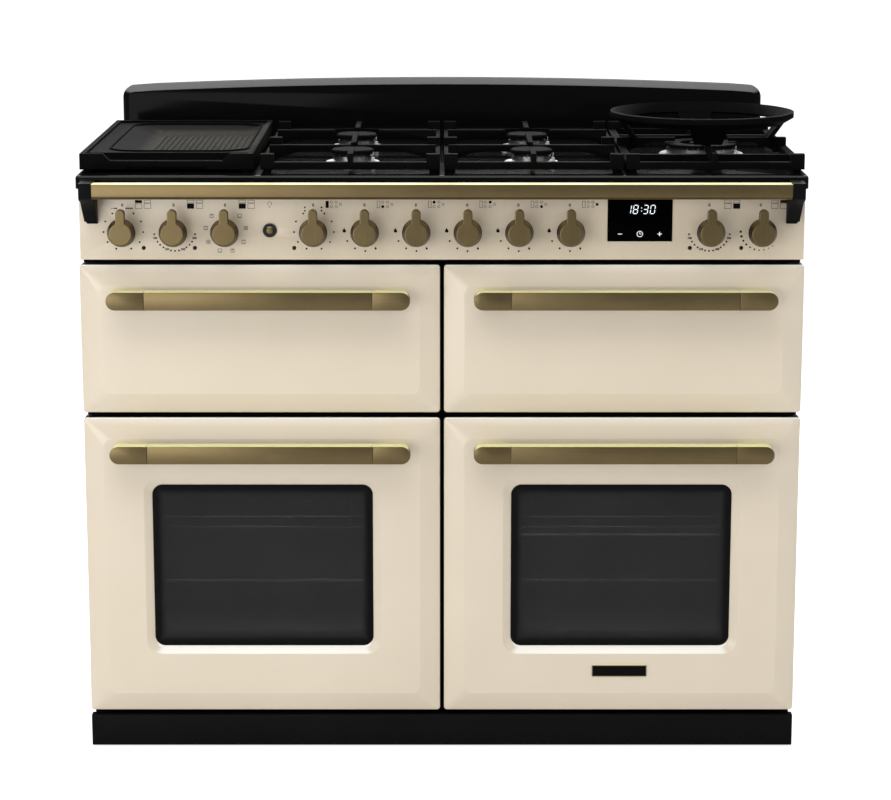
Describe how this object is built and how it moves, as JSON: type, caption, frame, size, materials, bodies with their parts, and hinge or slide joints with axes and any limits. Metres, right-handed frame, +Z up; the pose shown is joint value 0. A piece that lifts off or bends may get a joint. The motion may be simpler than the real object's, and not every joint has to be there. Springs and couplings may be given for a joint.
{
  "type": "range cooker with double oven",
  "caption": "Wide free-standing range cooker: gas hob with griddle and wok cradle, knob panel behind a handrail, two slide-out fronts and two drop-down oven doors.",
  "frame": {"origin": "on the floor under the middle of the cooker's overall box", "axes": "+X to the cooker's right as seen from the front, +Y to its back, +Z up"},
  "size_m": [1.107, 0.659, 0.9989],
  "materials": {
    "cream_enamel": "gloss cream enamel",
    "antique_brass": "brushed antique brass",
    "gloss_black": "gloss black enamel",
    "satin_black": "satin black paint",
    "cast_black": "matt cast iron enamel",
    "bright_wire": "chromed wire",
    "galvanised": "plain plated sheet",
    "grey_enamel": "speckled dark grey enamel",
    "dark_glass": "tinted oven glass",
    "display_glass": "black display cover",
    "burner_alloy": "bare burner alloy",
    "black_plastic": "moulded black plastic"
  },
  "bodies": {
    "cabinet": {"side_panels": "satin_black", "back_panel": "satin_black", "base_frame": "galvanised", "front_frame": "satin_black", "oven_cavities": "grey_enamel", "upper_chambers": "grey_enamel", "control_panel": "cream_enamel", "clock_display": "display_glass", "hob_tray": "gloss_black", "rear_upstand": "gloss_black", "handrail_bar": "antique_brass", "handrail_brackets": "satin_black", "plinth": "satin_black", "levelling_feet": "galvanised", "burner_bases": "burner_alloy", "burner_heads": "burner_alloy", "burner_caps": "cast_black", "shelf_runners": "bright_wire", "oven_shelves": "bright_wire", "fan_covers": "grey_enamel", "fan_motors": "galvanised", "heating_elements": "galvanised", "gas_rail": "galvanised", "switch_bodies": "black_plastic", "terminal_box": "black_plastic", "drawer_runners": "galvanised"},
    "rear_rollers": {"rear_rollers": "black_plastic"},
    "griddle": {"griddle": "cast_black"},
    "pan_support_left": {"pan_support_left": "cast_black"},
    "pan_support_centre": {"pan_support_centre": "cast_black"},
    "pan_support_right": {"pan_support_right": "cast_black"},
    "wok_cradle": {"wok_cradle": "cast_black"},
    "fan_left": {"fan_left": "galvanised"},
    "fan_right": {"fan_right": "galvanised"},
    "door_left": {"door_shell_left": "cream_enamel", "door_glass_left": "dark_glass", "door_liner_left": "grey_enamel", "door_handle_left": "antique_brass"},
    "door_right": {"door_shell_right": "cream_enamel", "door_glass_right": "dark_glass", "door_liner_right": "grey_enamel", "door_handle_right": "antique_brass"},
    "grill_drawer": {"grill_front": "cream_enamel", "grill_pan": "grey_enamel", "grill_handle": "antique_brass"},
    "proving_drawer": {"drawer_front": "cream_enamel", "drawer_box": "galvanised", "drawer_handle": "antique_brass"},
    "light_button": {"light_button": "antique_brass"},
    "knob_1": {"knob_1": "antique_brass"},
    "knob_2": {"knob_2": "antique_brass"},
    "knob_3": {"knob_3": "antique_brass"},
    "knob_4": {"knob_4": "antique_brass"},
    "knob_5": {"knob_5": "antique_brass"},
    "knob_6": {"knob_6": "antique_brass"},
    "knob_7": {"knob_7": "antique_brass"},
    "knob_8": {"knob_8": "antique_brass"},
    "knob_9": {"knob_9": "antique_brass"},
    "knob_10": {"knob_10": "antique_brass"},
    "knob_11": {"knob_11": "antique_brass"}
  },
  "joints": [
    {"name": "left_door_hinge", "type": "hinge", "parent": "cabinet", "child": "door_left", "pos_m": [-0.2765, -0.2445, 0.076], "axis": [1, 0, 0], "range_deg": [0, 90]},
    {"name": "right_door_hinge", "type": "hinge", "parent": "cabinet", "child": "door_right", "pos_m": [0.2765, -0.2445, 0.076], "axis": [1, 0, 0], "range_deg": [0, 90]},
    {"name": "grill_slide", "type": "slide", "parent": "cabinet", "child": "grill_drawer", "axis": [0, -1, 0], "range_m": [0, 0.35]},
    {"name": "proving_drawer_slide", "type": "slide", "parent": "cabinet", "child": "proving_drawer", "axis": [0, -1, 0], "range_m": [0, 0.35]},
    {"name": "knob_1_turn", "type": "hinge", "parent": "cabinet", "child": "knob_1", "pos_m": [-0.482, -0.2545, 0.8188], "axis": [0, 1, 0], "range_deg": [-160, 160]},
    {"name": "knob_2_turn", "type": "hinge", "parent": "cabinet", "child": "knob_2", "pos_m": [-0.4045, -0.2545, 0.8188], "axis": [0, 1, 0], "range_deg": [0, 270]},
    {"name": "knob_3_turn", "type": "hinge", "parent": "cabinet", "child": "knob_3", "pos_m": [-0.327, -0.2545, 0.8188], "axis": [0, 1, 0], "continuous": true},
    {"name": "knob_4_turn", "type": "hinge", "parent": "cabinet", "child": "knob_4", "pos_m": [-0.19375, -0.2545, 0.8188], "axis": [0, 1, 0], "range_deg": [-160, 160]},
    {"name": "knob_5_turn", "type": "hinge", "parent": "cabinet", "child": "knob_5", "pos_m": [-0.11625, -0.2545, 0.8188], "axis": [0, 1, 0], "range_deg": [-216, 0]},
    {"name": "knob_6_turn", "type": "hinge", "parent": "cabinet", "child": "knob_6", "pos_m": [-0.03875, -0.2545, 0.8188], "axis": [0, 1, 0], "range_deg": [-216, 0]},
    {"name": "knob_7_turn", "type": "hinge", "parent": "cabinet", "child": "knob_7", "pos_m": [0.03875, -0.2545, 0.8188], "axis": [0, 1, 0], "range_deg": [-216, 0]},
    {"name": "knob_8_turn", "type": "hinge", "parent": "cabinet", "child": "knob_8", "pos_m": [0.11625, -0.2545, 0.8188], "axis": [0, 1, 0], "range_deg": [-216, 0]},
    {"name": "knob_9_turn", "type": "hinge", "parent": "cabinet", "child": "knob_9", "pos_m": [0.19375, -0.2545, 0.8188], "axis": [0, 1, 0], "range_deg": [-216, 0]},
    {"name": "knob_10_turn", "type": "hinge", "parent": "cabinet", "child": "knob_10", "pos_m": [0.4045, -0.2545, 0.8188], "axis": [0, 1, 0], "range_deg": [0, 270]},
    {"name": "knob_11_turn", "type": "hinge", "parent": "cabinet", "child": "knob_11", "pos_m": [0.482, -0.2545, 0.8188], "axis": [0, 1, 0], "range_deg": [0, 270]},
    {"name": "light_button_press", "type": "slide", "parent": "cabinet", "child": "light_button", "axis": [0, 1, 0], "range_m": [0, 0.003], "stiffness_N_per_m": 400},
    {"name": "left_fan_spin", "type": "hinge", "parent": "cabinet", "child": "fan_left", "pos_m": [-0.2765, 0.1939, 0.287], "axis": [0, 1, 0], "continuous": true},
    {"name": "right_fan_spin", "type": "hinge", "parent": "cabinet", "child": "fan_right", "pos_m": [0.2765, 0.1939, 0.287], "axis": [0, 1, 0], "continuous": true},
    {"name": "rear_roller_spin", "type": "hinge", "parent": "cabinet", "child": "rear_rollers", "pos_m": [0, 0.2655, 0.022], "axis": [1, 0, 0], "continuous": true},
    {"name": "left_support_lift", "type": "slide", "parent": "cabinet", "child": "pan_support_left", "axis": [0, 0, 1], "range_m": [0, 0.12]},
    {"name": "centre_support_lift", "type": "slide", "parent": "cabinet", "child": "pan_support_centre", "axis": [-0.2425, 0, 0.9701], "range_m": [0, 0.175]},
    {"name": "right_support_lift", "type": "slide", "parent": "cabinet", "child": "pan_support_right", "axis": [0, 0, 1], "range_m": [0, 0.12]},
    {"name": "griddle_lift", "type": "slide", "parent": "cabinet", "child": "griddle", "axis": [0, 0, 1], "range_m": [0, 0.12]},
    {"name": "wok_cradle_lift", "type": "slide", "parent": "pan_support_right", "child": "wok_cradle", "axis": [0, 0, 1], "range_m": [0, 0.12]}
  ]
}
